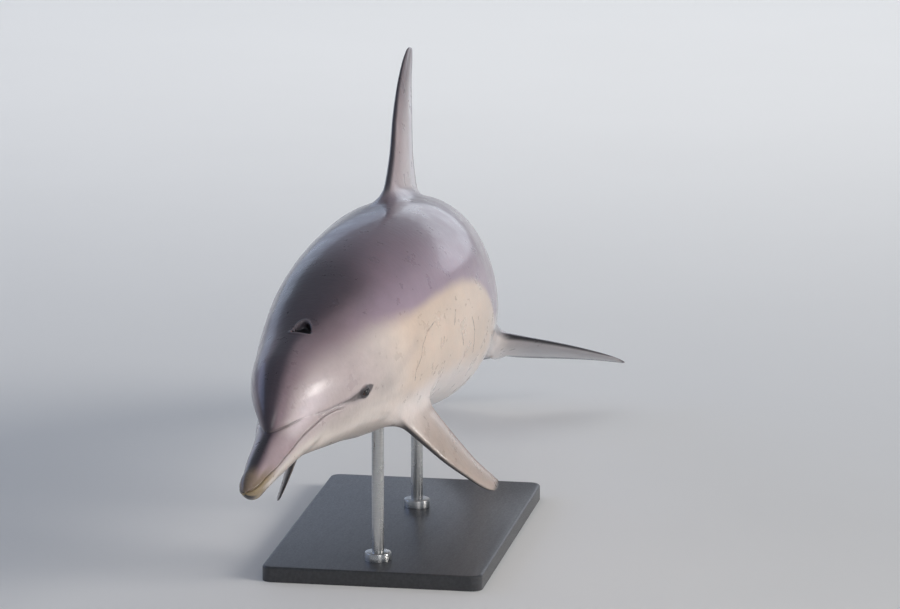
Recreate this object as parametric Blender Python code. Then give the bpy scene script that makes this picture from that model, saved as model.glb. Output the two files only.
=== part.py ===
"""Common dolphin (Delphinus delphis), adult, life size, leaping, on a plain display stand.

The animal is first modelled straight: x to its left, y back from the beak tip, z up, with
the spine line at x = z = 0. Its parts are made and parted there by thin cuts. Then the whole
is bent along the spine, tilted, banked and lifted over the stand, whose underside is at z = 0.
Units are metres and degrees; a "station" is a distance back from the beak tip, and the body
tables are in percent of the length from the beak tip to the notch of the flukes.
"""
import math

import bmesh
import bpy
import numpy as np

# ---------------------------------------------------------------- driving dimensions
LENGTH = 2.07                     # beak tip to fluke notch
PERCENT = LENGTH / 100
CUT = 0.0004                      # width of a parting cut

# Pose: the back arched, the head down and turned a little to the right.
SPINE_PITCH = ((0, -26.5), (15, -25.6), (31, -11.7), (46, 0), (60, -0.7), (80, 10.5), (100, 16.5))
SPINE_YAW = ((0, 12.3), (15, 11.7), (31, 5.9), (46, 0), (60, 0), (100, 0))
MID_STATION = 46.0                # where the spine line crosses the middle of the stand
BODY_PITCH = 11.0                 # nose up at the mid station
BODY_BANK = 5.4                   # left side up
MID_HEIGHT = 0.44                 # spine line above the floor at the mid station
MID_OFFSET = -0.05                # and how far it lies before the middle of the base

# Station, height above the spine line, depth below it, half width.
BODY = (
    (6, 5.4, 3.3, 4.3),
    (11, 5.8, 3.6, 4.7),
    (16, 6.3, 4.6, 5.05),
    (21, 7.4, 6.4, 5.95),
    (26, 8.2, 7.6, 6.8),
    (31, 8.6, 8.1, 7.3),
    (38, 9.0, 8.6, 7.8),
    (46, 9.7, 8.8, 8.2),
    (54, 10.0, 7.9, 7.4),
    (61, 8.8, 6.5, 6.3),
    (70, 6.8, 4.8, 4.4),
    (80, 5.0, 3.2, 2.6),
    (88, 3.5, 2.3, 1.5),
    (94, 2.2, 1.6, 1.0),
    (98, 1.0, 0.9, 0.7),
)
BEAK = (
    (0, 0.9, 1.1, 0.9),
    (2, 1.12, 1.45, 0.98),
    (4, 1.36, 1.55, 1.38),
    (6, 1.64, 1.85, 1.65),
    (8, 1.9, 2.1, 2.0),
    (11, 2.3, 2.4, 2.85),
    (15, 2.6, 2.6, 3.7),
)
BEAK_END = 15.0                   # station where the beak has sunk into the head
CREASE = 6.5                      # station where the melon rises from the top of the beak
CREASE_SLANT = 3.3                # and how much further back it does so at the side
MELON_RISE = 6.5                  # lengths over which the melon, throat and cheek swell
THROAT_SWELL = 11.0
CHEEK_SWELL = 10.0
BEAK_TIP_ROUND = 1.7
# Exponents of the sections: 2 is an ellipse, less is more like a diamond.
BEAK_SQUARENESS = 1.87
UPPER_SQUARENESS = ((21, 2.0), (46, 2.2), (62, 2.0), (86, 1.6))
LOWER_SQUARENESS = ((21, 2.1), (46, 2.0), (62, 2.0), (86, 1.6))
CREASE_SOFTNESS = 0.25

# Mouth line: station and height of the closed lips, from the tip to the corner.
MOUTH = (
    (-1, 0.1),
    (1, 0.1),
    (3.6, 0.1),
    (6.3, 0.17),
    (9.5, 0.43),
    (11.5, 0.47),
    (12.9, 0.34),
    (14.1, -0.1),
)
JAW_ANGLE = 15.3                  # station where the jaw's cut leaves through the throat
CREASE_FOOT = 13.0                # station where the crease meets the mouth line

EYE_STATION = 16.6
EYE_ANGLE = 90.0                  # from the top of the back, round the section
EYE_RADIUS = 0.0135
EYE_DEPTH = 0.0085                # centre of the eyeball below the skin

BLOWHOLE_STATION = 15.9           # its front edge
BLOWHOLE_SIDE = 0.015             # its middle, left of the midline
BLOWHOLE_WIDTH = 0.034
BLOWHOLE_LENGTH = 0.029
BLOWHOLE_DEPTH = 0.012
BLOWHOLE_BOW = 0.002              # how far the front edge bulges forward

# Node names of the body's lengths and the stations where they are parted.
HEAD_END = 20.5
TRUNK = (("chest", 20.5, 34), ("midriff", 34, 50), ("loin", 50, 66), ("tail_stock", 66, 98))

# Fins: span, leading edge, trailing edge, thickness. The dorsal fin's span is the height over
# the spine line, a fluke's is the distance from the midline, a flipper's starts at its root.
DORSAL_FIN = (
    (7.0, 40.5, 58.6, 2.2),
    (9.6, 43.2, 57.3, 1.8),
    (11.0, 45.3, 56.7, 1.2),
    (13.5, 48.3, 56.0, 1.0),
    (17.0, 51.1, 56.7, 0.8),
    (20.0, 54.1, 57.8, 0.55),
    (22.0, 56.9, 59.4, 0.35),
    (23.1, 59.0, 60.3, 0.18),
)
DORSAL_TWIST = ((11, 3.0), (20, 8.0))     # span, and degrees that the trailing edge turns left
FLUKE = (
    (0.0, 90.0, 99.6, 2.0),
    (1.5, 91.6, 100.6, 1.5),
    (3.5, 93.6, 101.4, 1.0),
    (6.0, 96.4, 102.2, 0.75),
    (8.5, 99.6, 103.3, 0.5),
    (10.4, 102.6, 104.5, 0.3),
    (11.2, 104.5, 105.1, 0.15),
)
FLIPPER = (
    (-2.0, -4.8, 4.4, 2.6),
    (0.0, -3.8, 3.3, 1.8),
    (1.5, -3.1, 2.8, 1.2),
    (4.0, -2.4, 2.7, 0.9),
    (6.5, -1.6, 2.9, 0.7),
    (9.5, 0.0, 3.4, 0.5),
    (12.0, 1.8, 4.5, 0.3),
    (13.0, 3.2, 5.0, 0.15),
)
FLIPPER_STATION = 26.8
FLIPPER_ANGLE = 138.5             # root, from the top of the back
FLIPPER_SINK = 0.026              # root below the skin
FLIPPER_SWEEP = 29.0              # back from straight out
FLIPPER_DROOP = 60.5              # down from level
FLIPPER_TWIST = 35.0              # leading edge down

# Stand.
BASE_LENGTH = 0.68
BASE_WIDTH = 0.40
BASE_HEIGHT = 0.028
BASE_CORNER = 0.02
BASE_EDGE = 0.004
ROD_RADIUS = 0.011
ROD_STATIONS = (("front", 36.5), ("rear", 56.0))
ROD_SOCKET = 0.05                 # rod inside the body
COLLAR_RADIUS = 0.024
COLLAR_HEIGHT = 0.016

# ---------------------------------------------------------------- mesh density
RING_POINTS = 36
HEAD_RINGS = 26
TRUNK_STEP = 3.2                  # percent of length between rings
FIN_CHORD_POINTS = 8
FIN_SPAN_RINGS = 12
ROD_POINTS = 24
FIN_EDGE = 0.0006                 # half thickness of a trailing edge
SMOOTH_ANGLE = math.radians(32)


# ---------------------------------------------------------------- body shape
def smooth_table(table, column, at):
    """Monotone cubic through one column of a table whose first column is the position."""
    xs = np.array([row[0] for row in table], float)
    ys = np.array([row[column] for row in table], float)
    step = np.diff(xs)
    slope = np.diff(ys) / step
    tangent = np.concatenate([slope[:1], np.zeros(len(xs) - 2), slope[-1:]])
    for i in range(1, len(xs) - 1):
        if slope[i - 1] * slope[i] > 0:
            before = 2 * step[i] + step[i - 1]
            after = step[i] + 2 * step[i - 1]
            tangent[i] = (before + after) / (before / slope[i - 1] + after / slope[i])
    at = np.clip(at, xs[0], xs[-1])
    i = np.clip(np.searchsorted(xs, at) - 1, 0, len(xs) - 2)
    t = (at - xs[i]) / step[i]
    return ((1 + 2 * t) * (1 - t) ** 2 * ys[i] + t * (1 - t) ** 2 * step[i] * tangent[i]
            + t * t * (3 - 2 * t) * ys[i + 1] + t * t * (t - 1) * step[i] * tangent[i + 1])


def rounded_start(station, start, swell, power=2.0):
    """0 before start, then a quarter of a superellipse up to 1 after swell."""
    t = np.clip((station - start) / swell, 0, 1)
    return np.maximum((1 - (1 - t) ** power) ** (1 / power), 1e-3)


def smooth_larger(a, b, softness):
    """The larger of a and b, rounded where they cross."""
    h = np.clip(0.5 + 0.5 * (a - b) / softness, 0, 1)
    return b * (1 - h) + a * h + softness * h * (1 - h)


def polar_radius(up, down, side, angle, upper_power, lower_power):
    """Radius of an egg-shaped section at an angle from straight up."""
    rise = np.cos(angle)
    height = np.where(rise > 0, up, down)
    power = np.where(rise > 0, upper_power, lower_power)
    return ((np.abs(np.sin(angle)) / side) ** power + (np.abs(rise) / height) ** power) ** (-1 / power)


def skin_radius(station, angle):
    """Distance of the skin from the spine line, in metres."""
    start = CREASE + CREASE_SLANT * np.sin(angle) ** 2
    swell = [rounded_start(station, start, MELON_RISE),
             rounded_start(station, start, THROAT_SWELL, 1.8),
             rounded_start(station, start, CHEEK_SWELL)]
    body = polar_radius(*[smooth_table(BODY, k + 1, station) * swell[k] for k in range(3)], angle,
                        smooth_table(UPPER_SQUARENESS, 1, station),
                        smooth_table(LOWER_SQUARENESS, 1, station))
    tip = rounded_start(station, 0, BEAK_TIP_ROUND)
    beak = polar_radius(*[smooth_table(BEAK, k, station) * tip for k in (1, 2, 3)], angle,
                        BEAK_SQUARENESS, BEAK_SQUARENESS)
    beak = np.where(station > BEAK_END, 0, beak)
    return smooth_larger(body, beak, CREASE_SOFTNESS) * PERCENT


def skin_point(station, angle, lift=0.0):
    """Point of the skin of the straight animal; the angle is in degrees from the top."""
    turn = math.radians(angle)
    radius = float(skin_radius(np.array([float(station)]), np.array([turn]))[0]) + lift
    return np.array([radius * math.sin(turn), station * PERCENT, radius * math.cos(turn)])


# ---------------------------------------------------------------- pose
def spine_curve():
    """Station, position and backward direction along the bent spine line."""
    station = np.linspace(-2, 108, 441)
    pitch = np.radians(smooth_table(SPINE_PITCH, 1, station))
    yaw = np.radians(smooth_table(SPINE_YAW, 1, station))
    back = np.stack([np.sin(yaw) * np.cos(pitch), np.cos(yaw) * np.cos(pitch), -np.sin(pitch)], 1)
    steps = (back[1:] + back[:-1]) / 2 * (station[1] - station[0]) * PERCENT
    place = np.concatenate([np.zeros((1, 3)), np.cumsum(steps, 0)])
    middle = [np.interp(MID_STATION, station, place[:, k]) for k in range(3)]
    return station, place - middle, back


SPINE = spine_curve()


def posed(points):
    """Move points of the straight animal to their place over the stand."""
    points = np.asarray(points, float)
    station, place, back = SPINE
    at = points[..., 1] / PERCENT
    origin = np.stack([np.interp(at, station, place[:, k]) for k in range(3)], -1)
    backward = np.stack([np.interp(at, station, back[:, k]) for k in range(3)], -1)
    left = np.cross(backward, [0.0, 0.0, 1.0])
    left /= np.linalg.norm(left, axis=-1, keepdims=True)
    up = np.cross(left, backward)
    bent = origin + left * points[..., :1] + up * points[..., 2:]
    bank = math.radians(BODY_BANK)
    tilt = math.radians(BODY_PITCH)
    x = bent[..., 0] * math.cos(bank) - bent[..., 2] * math.sin(bank)
    z = bent[..., 0] * math.sin(bank) + bent[..., 2] * math.cos(bank)
    y = bent[..., 1] * math.cos(tilt) + z * math.sin(tilt)
    z = -bent[..., 1] * math.sin(tilt) + z * math.cos(tilt)
    return np.stack([x, y + MID_OFFSET, z + MID_HEIGHT], -1)


# ---------------------------------------------------------------- mesh tools
def new_object(name, verts, faces):
    mesh = bpy.data.meshes.new(name)
    mesh.from_pydata([tuple(map(float, v)) for v in verts], [], faces)
    mesh.update()
    obj = bpy.data.objects.new(name, mesh)
    bpy.context.collection.objects.link(obj)
    return obj


def loft(name, rings):
    """Closed skin over a list of rings of equal length, capped flat at both ends."""
    rings = np.asarray(rings)
    count, around = rings.shape[:2]
    faces = []
    for r in range(count - 1):
        for k in range(around):
            n = (k + 1) % around
            faces.append((r * around + k, r * around + n, (r + 1) * around + n, (r + 1) * around + k))
    faces.append(tuple(range(around))[::-1])
    faces.append(tuple(range((count - 1) * around, count * around)))
    obj = new_object(name, rings.reshape(-1, 3), faces)
    face_outwards(obj.data)
    return obj


def face_outwards(mesh):
    bm = bmesh.new()
    bm.from_mesh(mesh)
    bmesh.ops.recalc_face_normals(bm, faces=bm.faces)
    bm.to_mesh(mesh)
    bm.free()


def remove(*objects):
    for obj in objects:
        bpy.data.objects.remove(obj)


def cut(obj, *cutters, keep="DIFFERENCE"):
    """Cut obj by each cutter in turn and keep the result as its mesh."""
    for cutter in cutters:
        modifier = obj.modifiers.new("cut", "BOOLEAN")
        modifier.operation = keep
        modifier.solver = "EXACT"
        modifier.object = cutter
    bpy.context.view_layer.update()
    result = bpy.data.meshes.new_from_object(obj.evaluated_get(bpy.context.evaluated_depsgraph_get()))
    obj.modifiers.clear()
    obj.data = result
    return obj


def loose_bodies(obj):
    """Split an object into its separate shells, biggest first."""
    bm = bmesh.new()
    bm.from_mesh(obj.data)
    waiting = set(bm.verts)
    groups = []
    while waiting:
        group = set()
        stack = [waiting.pop()]
        while stack:
            vert = stack.pop()
            group.add(vert)
            near = {edge.other_vert(vert) for edge in vert.link_edges} & waiting
            waiting -= near
            stack.extend(near)
        groups.append(group)
    groups.sort(key=len, reverse=True)
    pieces = []
    for n, group in enumerate(groups):
        index = {vert: i for i, vert in enumerate(sorted(group, key=lambda v: v.index))}
        faces = [tuple(index[v] for v in face.verts) for face in bm.faces if face.verts[0] in group]
        pieces.append(new_object(f"{obj.name}_{n}", [v.co for v in index], faces))
    bm.free()
    remove(obj)
    return pieces


def pose(obj):
    """Move an object of the straight animal to its place over the stand."""
    points = np.empty(len(obj.data.vertices) * 3)
    obj.data.vertices.foreach_get("co", points)
    obj.data.vertices.foreach_set("co", posed(points.reshape(-1, 3)).ravel())
    obj.data.update()
    return obj


def finish_part(obj, name, material):
    """Name a part, shade it smooth and give it its material."""
    mesh = obj.data
    obj.name = name
    mesh.name = name
    mesh.materials.clear()
    mesh.materials.append(material)
    mesh.shade_smooth()
    mesh.set_sharp_from_angle(angle=SMOOTH_ANGLE)
    mesh.update()
    return obj


# ---------------------------------------------------------------- body
def body_rings(stations, lift=0.0):
    angle = np.linspace(0, 2 * math.pi, RING_POINTS, endpoint=False)
    station, turn = np.meshgrid(np.asarray(stations, float), angle, indexing="ij")
    radius = skin_radius(station, turn) + lift
    return np.stack([radius * np.sin(turn), station * PERCENT, radius * np.cos(turn)], -1)


def length_stations(start, end):
    count = max(2, round((end - start) / TRUNK_STEP) + 1)
    half_cut = CUT / 2 / PERCENT
    return np.linspace(start + half_cut, end - half_cut, count)


def head_stations():
    """Rings of the head: close together at the tip and round the crease."""
    tip = 0.02 + 2.2 * np.linspace(0, 1, 6) ** 2
    beak = np.linspace(2.2, CREASE, 6)[1:]
    rise = CREASE + 5.0 * np.linspace(0, 1, HEAD_RINGS - 14)[1:] ** 1.6
    rest = np.linspace(CREASE + 5.0, HEAD_END - CUT / 2 / PERCENT, 7)[1:]
    return np.concatenate([tip, beak, rise, rest])


def side_sheet(name, outline, half_width):
    """Thin upright sheet through the body, drawn in the side view as station and height."""
    line = np.array(outline, float) * PERCENT
    along = np.gradient(line, axis=0)
    along /= np.linalg.norm(along, axis=1, keepdims=True)
    across = np.stack([-along[:, 1], along[:, 0]], 1) * CUT / 2
    rings = []
    for point, offset in zip(line, across):
        upper = point + offset
        lower = point - offset
        rings.append([(half_width, *upper), (half_width, *lower), (-half_width, *lower),
                      (-half_width, *upper)])
    return loft(name, rings)


def mouth_height(station):
    return float(smooth_table(MOUTH, 1, np.array([float(station)]))[0])


def jaw_sheet():
    """Closed mouth from before the tip to its corner, then down behind the jaw."""
    lips = [(s, mouth_height(s)) for s in np.linspace(MOUTH[0][0], MOUTH[-1][0], 12)]
    return side_sheet("jaw_cut", lips + [(JAW_ANGLE, -1.5), (JAW_ANGLE + 0.6, -8)], 0.2)


def crease_sheet():
    """Slanted cut from the foot of the melon down to the mouth line."""
    foot = (CREASE_FOOT, mouth_height(CREASE_FOOT))
    top = (CREASE, float(smooth_table(BEAK, 1, np.array([CREASE]))[0]))
    slope = (top[1] - foot[1]) / (top[0] - foot[0])
    above = (top[0] - 2, top[1] - 2 * slope)
    below = (foot[0] - CUT / PERCENT, foot[1] - slope * CUT / PERCENT)
    return side_sheet("crease_cut", [above, top, below], 0.2)


def ball(name, centre, radius, segments=16, rings=10):
    bm = bmesh.new()
    bmesh.ops.create_uvsphere(bm, u_segments=segments, v_segments=rings, radius=radius)
    verts = [np.array(v.co) + centre for v in bm.verts]
    faces = [tuple(v.index for v in f.verts) for f in bm.faces]
    bm.free()
    return new_object(name, verts, faces)


def blowhole_cutter():
    """Pocket on top of the head, nearly straight in front and round behind."""
    top = skin_point(BLOWHOLE_STATION, 0)
    rings = []
    for level in (-BLOWHOLE_DEPTH, 0.02):
        ring = []
        for turn in np.linspace(0, 2 * math.pi, 20, endpoint=False):
            rise = math.sin(turn)
            x = BLOWHOLE_SIDE + BLOWHOLE_WIDTH / 2 * math.cos(turn)
            y = rise * (BLOWHOLE_LENGTH if rise > 0 else BLOWHOLE_BOW)
            ring.append(top + (x, y, level))
        rings.append(ring)
    return loft("blowhole_cut", rings)


def make_head(materials):
    whole = pose(loft("whole_head", body_rings(head_stations())))
    sockets = []
    for side, sign in (("left", 1), ("right", -1)):
        centre = skin_point(EYE_STATION, sign * EYE_ANGLE, -EYE_DEPTH)
        eye = pose(ball("eye", centre, EYE_RADIUS))
        finish_part(eye, f"eye_{side}", materials["eye"])
        sockets.append(pose(ball(f"socket_{side}", centre, EYE_RADIUS + CUT)))
    jaw_cut, crease_cut = pose(jaw_sheet()), pose(crease_sheet())
    blowhole = pose(blowhole_cutter())
    head, jaw = loose_bodies(cut(whole, jaw_cut, blowhole, *sockets))
    head, beak = loose_bodies(cut(head, crease_cut))
    remove(jaw_cut, crease_cut, blowhole, *sockets)
    finish_part(head, "head", materials["cape"])
    finish_part(beak, "upper_beak", materials["cape"])
    finish_part(jaw, "lower_jaw", materials["belly"])


def make_trunk(materials):
    colours = {"chest": "flank", "midriff": "flank", "loin": "cape", "tail_stock": "cape"}
    bores = [turned("bore", ROD_RADIUS + CUT, 0, rod_top(station) + CUT, belly_point(station))
             for _, station in ROD_STATIONS]
    for name, start, end in TRUNK:
        part = pose(loft(name, body_rings(length_stations(start, end))))
        cut(part, *bores)
        finish_part(part, name, materials[colours[name]])
    remove(*bores)


# ---------------------------------------------------------------- fins
def fin_ring(chord, thickness):
    """Aerofoil outline: chordwise place and offset to each side, blunt at the trailing edge."""
    nose, tail = 0.5, 1.1
    peak = nose / (nose + tail)
    c = (1 - np.cos(np.linspace(0, math.pi, FIN_CHORD_POINTS + 1))) / 2
    half = thickness / 2 * (c / peak) ** nose * ((1 - c) / (1 - peak)) ** tail
    half = np.maximum(half, FIN_EDGE * np.sqrt(c))
    along = np.concatenate([c, c[:0:-1]]) * chord
    return along, np.concatenate([half, -half[:0:-1]])


def fin(name, table, origin, spanwise, chordwise, twist=((0, 0.0), (1, 0.0))):
    """Loft a fin from its table; spanwise and chordwise are unit vectors, twist turns the chord."""
    sideways = np.cross(spanwise, chordwise)
    first, last = table[0][0], table[-1][0]
    rings = []
    for t in np.linspace(0, 1, FIN_SPAN_RINGS + 1):
        span = last - (last - first) * (1 - t) ** 1.15
        at = np.array([span])
        lead, trail, thick = (float(smooth_table(table, k, at)[0]) * PERCENT for k in (1, 2, 3))
        along, offset = fin_ring(trail - lead, thick)
        along = along - (trail - lead) / 2
        turn = math.radians(float(smooth_table(twist, 1, at)[0]))
        chord_way = chordwise * math.cos(turn) - sideways * math.sin(turn)
        thick_way = sideways * math.cos(turn) + chordwise * math.sin(turn)
        centre = origin + spanwise * span * PERCENT + chordwise * (lead + trail) / 2
        rings.append(centre + np.outer(along, chord_way) + np.outer(offset, thick_way))
    return loft(name, rings)


def flipper_axes(sign):
    """Directions of a flipper's length and chord, on the left (1) or right (-1) side."""
    sweep, droop, twist = (math.radians(v) for v in (FLIPPER_SWEEP, FLIPPER_DROOP, FLIPPER_TWIST))
    spanwise = np.array([math.cos(sweep) * math.cos(droop), math.sin(sweep) * math.cos(droop),
                         -math.sin(droop)])
    level = np.array([-math.sin(sweep), math.cos(sweep), 0.0])
    rise = np.cross(spanwise, level)
    chordwise = level * math.cos(twist) + rise * math.sin(twist)
    mirror = np.array([sign, 1.0, 1.0])
    return spanwise * mirror, chordwise * mirror


def make_fins(materials):
    stations = np.concatenate([head_stations()[:-1]] + [length_stations(s, e) for _, s, e in TRUNK])
    around_body = pose(loft("around_body", body_rings(stations, CUT)))
    up, back, left = np.eye(3)[[2, 1, 0]]
    dorsal = pose(fin("fin", DORSAL_FIN, np.zeros(3), up, back, DORSAL_TWIST))
    finish_part(cut(dorsal, around_body), "dorsal_fin", materials["fin"])
    for side, sign in (("left", 1), ("right", -1)):
        lobe = pose(fin("lobe", FLUKE, left * sign * CUT / 2, left * sign, back))
        finish_part(cut(lobe, around_body), f"fluke_{side}", materials["cape"])
        root = skin_point(FLIPPER_STATION, sign * FLIPPER_ANGLE, -FLIPPER_SINK)
        flipper = pose(fin("flipper", FLIPPER, root, *flipper_axes(sign)))
        finish_part(cut(flipper, around_body), f"flipper_{side}", materials["flipper"])
    remove(around_body)


# ---------------------------------------------------------------- stand
def turned(name, radius, low, high, centre):
    angle = np.linspace(0, 2 * math.pi, ROD_POINTS, endpoint=False)
    circle = np.stack([radius * np.cos(angle), radius * np.sin(angle), np.zeros(ROD_POINTS)], 1)
    return loft(name, [circle + (centre[0], centre[1], z) for z in (low, high)])


def belly_point(station):
    """Lowest point of the posed body at a station."""
    angle = np.radians(np.arange(140, 221))
    radius = skin_radius(np.full(len(angle), float(station)), angle)
    ring = np.stack([radius * np.sin(angle), np.full(len(angle), station * PERCENT),
                     radius * np.cos(angle)], 1)
    ring = posed(ring)
    return ring[ring[:, 2].argmin()]


def rod_top(station):
    return belly_point(station)[2] + ROD_SOCKET


def make_stand(materials):
    base = new_object("base", *rounded_slab())
    finish_part(base, "stand_base", materials["base"])
    for place, station in ROD_STATIONS:
        foot = belly_point(station)
        rod = turned("rod", ROD_RADIUS, BASE_HEIGHT + CUT, rod_top(station), foot)
        finish_part(rod, f"stand_rod_{place}", materials["steel"])
        collar = turned("collar", COLLAR_RADIUS, BASE_HEIGHT + CUT,
                        BASE_HEIGHT + COLLAR_HEIGHT, foot)
        room = turned("room", ROD_RADIUS + CUT, 0, 1, foot)
        finish_part(cut(collar, room), f"stand_collar_{place}", materials["steel"])
        remove(room)


def rounded_slab():
    """Flat plate with round corners and a small bevel round its top."""
    outline = []
    for cx, cy, start in ((1, 1, 0), (-1, 1, 90), (-1, -1, 180), (1, -1, 270)):
        for step in range(7):
            turn = math.radians(start + 15 * step)
            outline.append((cx * (BASE_WIDTH / 2 - BASE_CORNER), cy * (BASE_LENGTH / 2 - BASE_CORNER),
                            math.cos(turn), math.sin(turn)))
    verts = []
    for inset, z in ((0, 0), (0, BASE_HEIGHT - BASE_EDGE), (BASE_EDGE, BASE_HEIGHT)):
        verts += [(x + (BASE_CORNER - inset) * c, y + (BASE_CORNER - inset) * s, z)
                  for x, y, c, s in outline]
    n = len(outline)
    faces = [tuple(range(n))[::-1], tuple(range(2 * n, 3 * n))]
    for level in range(2):
        faces += [(level * n + k, level * n + (k + 1) % n, (level + 1) * n + (k + 1) % n,
                   (level + 1) * n + k) for k in range(n)]
    return verts, faces


# ---------------------------------------------------------------- materials
def principled(name, colour, roughness, metallic=0.0):
    material = bpy.data.materials.new(name)
    material.use_nodes = True
    shader = material.node_tree.nodes["Principled BSDF"]
    shader.inputs["Base Color"].default_value = (*colour, 1)
    shader.inputs["Roughness"].default_value = roughness
    shader.inputs["Metallic"].default_value = metallic
    return material


def make_materials():
    return {
        "cape": principled("cape", (0.16, 0.13, 0.13), 0.25),
        "flank": principled("flank", (0.55, 0.47, 0.38), 0.25),
        "belly": principled("belly", (0.72, 0.64, 0.60), 0.25),
        "fin": principled("fin", (0.28, 0.23, 0.21), 0.3),
        "flipper": principled("flipper", (0.5, 0.44, 0.38), 0.3),
        "eye": principled("eye", (0.01, 0.008, 0.007), 0.05),
        "base": principled("base", (0.03, 0.03, 0.032), 0.45),
        "steel": principled("steel", (0.6, 0.6, 0.6), 0.3, 1.0),
    }


def main():
    for obj in list(bpy.data.objects):
        bpy.data.objects.remove(obj)
    materials = make_materials()
    make_head(materials)
    make_trunk(materials)
    make_fins(materials)
    make_stand(materials)


main()
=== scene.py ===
"""Looks of the common dolphin display model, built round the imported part.

The skin is one closed mesh. It is made straight, like the solids: x to the animal's left, y back
from the beak tip, z up, a "station" in percent of the length back from the beak tip, and a "turn"
in degrees round the section from the top of the back. Then it is bent into the pose. The tables
of the shape are those of the part. Units are metres unless a name says otherwise.

Several tables of the shape, the face and the markings, and the camera's direction, came out of
programs that fitted them to points in the photo. report.md lists them under "Open fault".
"""
import math

import bmesh
import bpy
import numpy as np
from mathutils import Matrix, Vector
from mathutils.bvhtree import BVHTree


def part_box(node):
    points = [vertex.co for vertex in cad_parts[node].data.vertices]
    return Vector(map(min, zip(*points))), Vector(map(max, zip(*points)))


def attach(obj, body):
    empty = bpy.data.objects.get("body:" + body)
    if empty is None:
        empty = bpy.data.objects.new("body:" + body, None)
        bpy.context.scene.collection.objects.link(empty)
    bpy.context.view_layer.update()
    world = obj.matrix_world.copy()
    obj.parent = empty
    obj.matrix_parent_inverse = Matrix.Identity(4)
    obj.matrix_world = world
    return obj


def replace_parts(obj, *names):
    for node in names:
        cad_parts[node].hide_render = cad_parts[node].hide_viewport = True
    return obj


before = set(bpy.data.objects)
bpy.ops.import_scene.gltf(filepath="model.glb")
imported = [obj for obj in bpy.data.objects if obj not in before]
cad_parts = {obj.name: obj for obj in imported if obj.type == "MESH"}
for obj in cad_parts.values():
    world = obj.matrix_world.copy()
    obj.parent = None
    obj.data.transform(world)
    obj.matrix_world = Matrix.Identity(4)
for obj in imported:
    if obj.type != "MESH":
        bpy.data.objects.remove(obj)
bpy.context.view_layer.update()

# ---------------- shape, as in the part
LENGTH = 2.07
PERCENT = LENGTH / 100
MM = 0.001

SPINE_PITCH = ((0, -26.5), (15, -25.6), (31, -11.7), (46, 0), (60, -0.7), (80, 10.5), (100, 16.5))
SPINE_YAW = ((0, 12.3), (15, 11.7), (31, 5.9), (46, 0), (60, 0), (100, 0))
MID_STATION = 46.0
BODY_PITCH = 11.0
BODY_BANK = 5.4
MID_HEIGHT = 0.44
MID_OFFSET = -0.05

# Station, then the skin's reach up, down and sideways from the spine line.
BODY = (
    (6, 5.4, 3.3, 4.3),
    (11, 5.8, 3.6, 4.7),
    (16, 6.3, 4.6, 5.05),
    (21, 7.4, 6.4, 5.95),
    (26, 8.2, 7.6, 6.8),
    (31, 8.6, 8.1, 7.3),
    (38, 9.0, 8.6, 7.8),
    (46, 9.7, 8.8, 8.2),
    (54, 10.0, 7.9, 7.4),
    (61, 8.8, 6.5, 6.3),
    (70, 6.8, 4.8, 4.4),
    (80, 5.0, 3.2, 2.6),
    (88, 3.5, 2.3, 1.5),
    (94, 2.2, 1.6, 1.0),
    (98, 1.0, 0.9, 0.7),
)
BEAK = (
    (0, 0.9, 1.1, 0.9),
    (2, 1.12, 1.45, 0.98),
    (4, 1.36, 1.55, 1.38),
    (6, 1.64, 1.85, 1.65),
    (8, 1.9, 2.1, 2.0),
    (11, 2.3, 2.4, 2.85),
    (15, 2.6, 2.6, 3.7),
)
BEAK_END = 15.0
CREASE = 6.5
CREASE_SLANT = 3.3
MELON_RISE = 6.5
THROAT_SWELL = 11.0
CHEEK_SWELL = 10.0
BEAK_TIP_ROUND = 1.7
BEAK_SQUARENESS = 1.87
UPPER_SQUARENESS = ((21, 2.0), (46, 2.2), (62, 2.0), (86, 1.6))
LOWER_SQUARENESS = ((21, 2.1), (46, 2.0), (62, 2.0), (86, 1.6))
CREASE_SOFTNESS = 0.25
# Station and height of the line between the lips.
MOUTH = (
    (-1, 0.1),
    (1, 0.1),
    (3.6, 0.1),
    (6.3, 0.17),
    (9.5, 0.43),
    (11.5, 0.47),
    (12.9, 0.34),
    (14.1, -0.1),
)
EYE_STATION = 16.6
EYE_ANGLE = 90.0
EYE_RADIUS = 0.0135
EYE_DEPTH = 0.0085
BLOWHOLE_STATION = 15.9
BLOWHOLE_SIDE = 0.015
BLOWHOLE_WIDTH = 0.034
BLOWHOLE_LENGTH = 0.029
BLOWHOLE_BOW = 0.002

# Span, leading edge, trailing edge and thickness of the fins, in percent of the length.
DORSAL_FIN = (
    (7.0, 40.5, 58.6, 2.2),
    (9.6, 43.2, 57.3, 1.8),
    (11.0, 45.3, 56.7, 1.2),
    (13.5, 48.3, 56.0, 1.0),
    (17.0, 51.1, 56.7, 0.8),
    (20.0, 54.1, 57.8, 0.55),
    (22.0, 56.9, 59.4, 0.35),
    (23.1, 59.0, 60.3, 0.18),
)
DORSAL_TWIST = ((11, 3.0), (20, 8.0))
FLUKE = (
    (0.0, 90.0, 99.6, 2.0),
    (1.5, 91.6, 100.6, 1.5),
    (3.5, 93.6, 101.4, 1.0),
    (6.0, 96.4, 102.2, 0.75),
    (8.5, 99.6, 103.3, 0.5),
    (10.4, 102.6, 104.5, 0.3),
    (11.2, 104.5, 105.1, 0.15),
)
FLIPPER = (
    (-2.0, -4.8, 4.4, 2.6),
    (0.0, -3.8, 3.3, 1.8),
    (1.5, -3.1, 2.8, 1.2),
    (4.0, -2.4, 2.7, 0.9),
    (6.5, -1.6, 2.9, 0.7),
    (9.5, 0.0, 3.4, 0.5),
    (12.0, 1.8, 4.5, 0.3),
    (13.0, 3.2, 5.0, 0.15),
)
FLIPPER_STATION = 26.8
FLIPPER_ANGLE = 138.5
FLIPPER_SINK = 0.026
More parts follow.
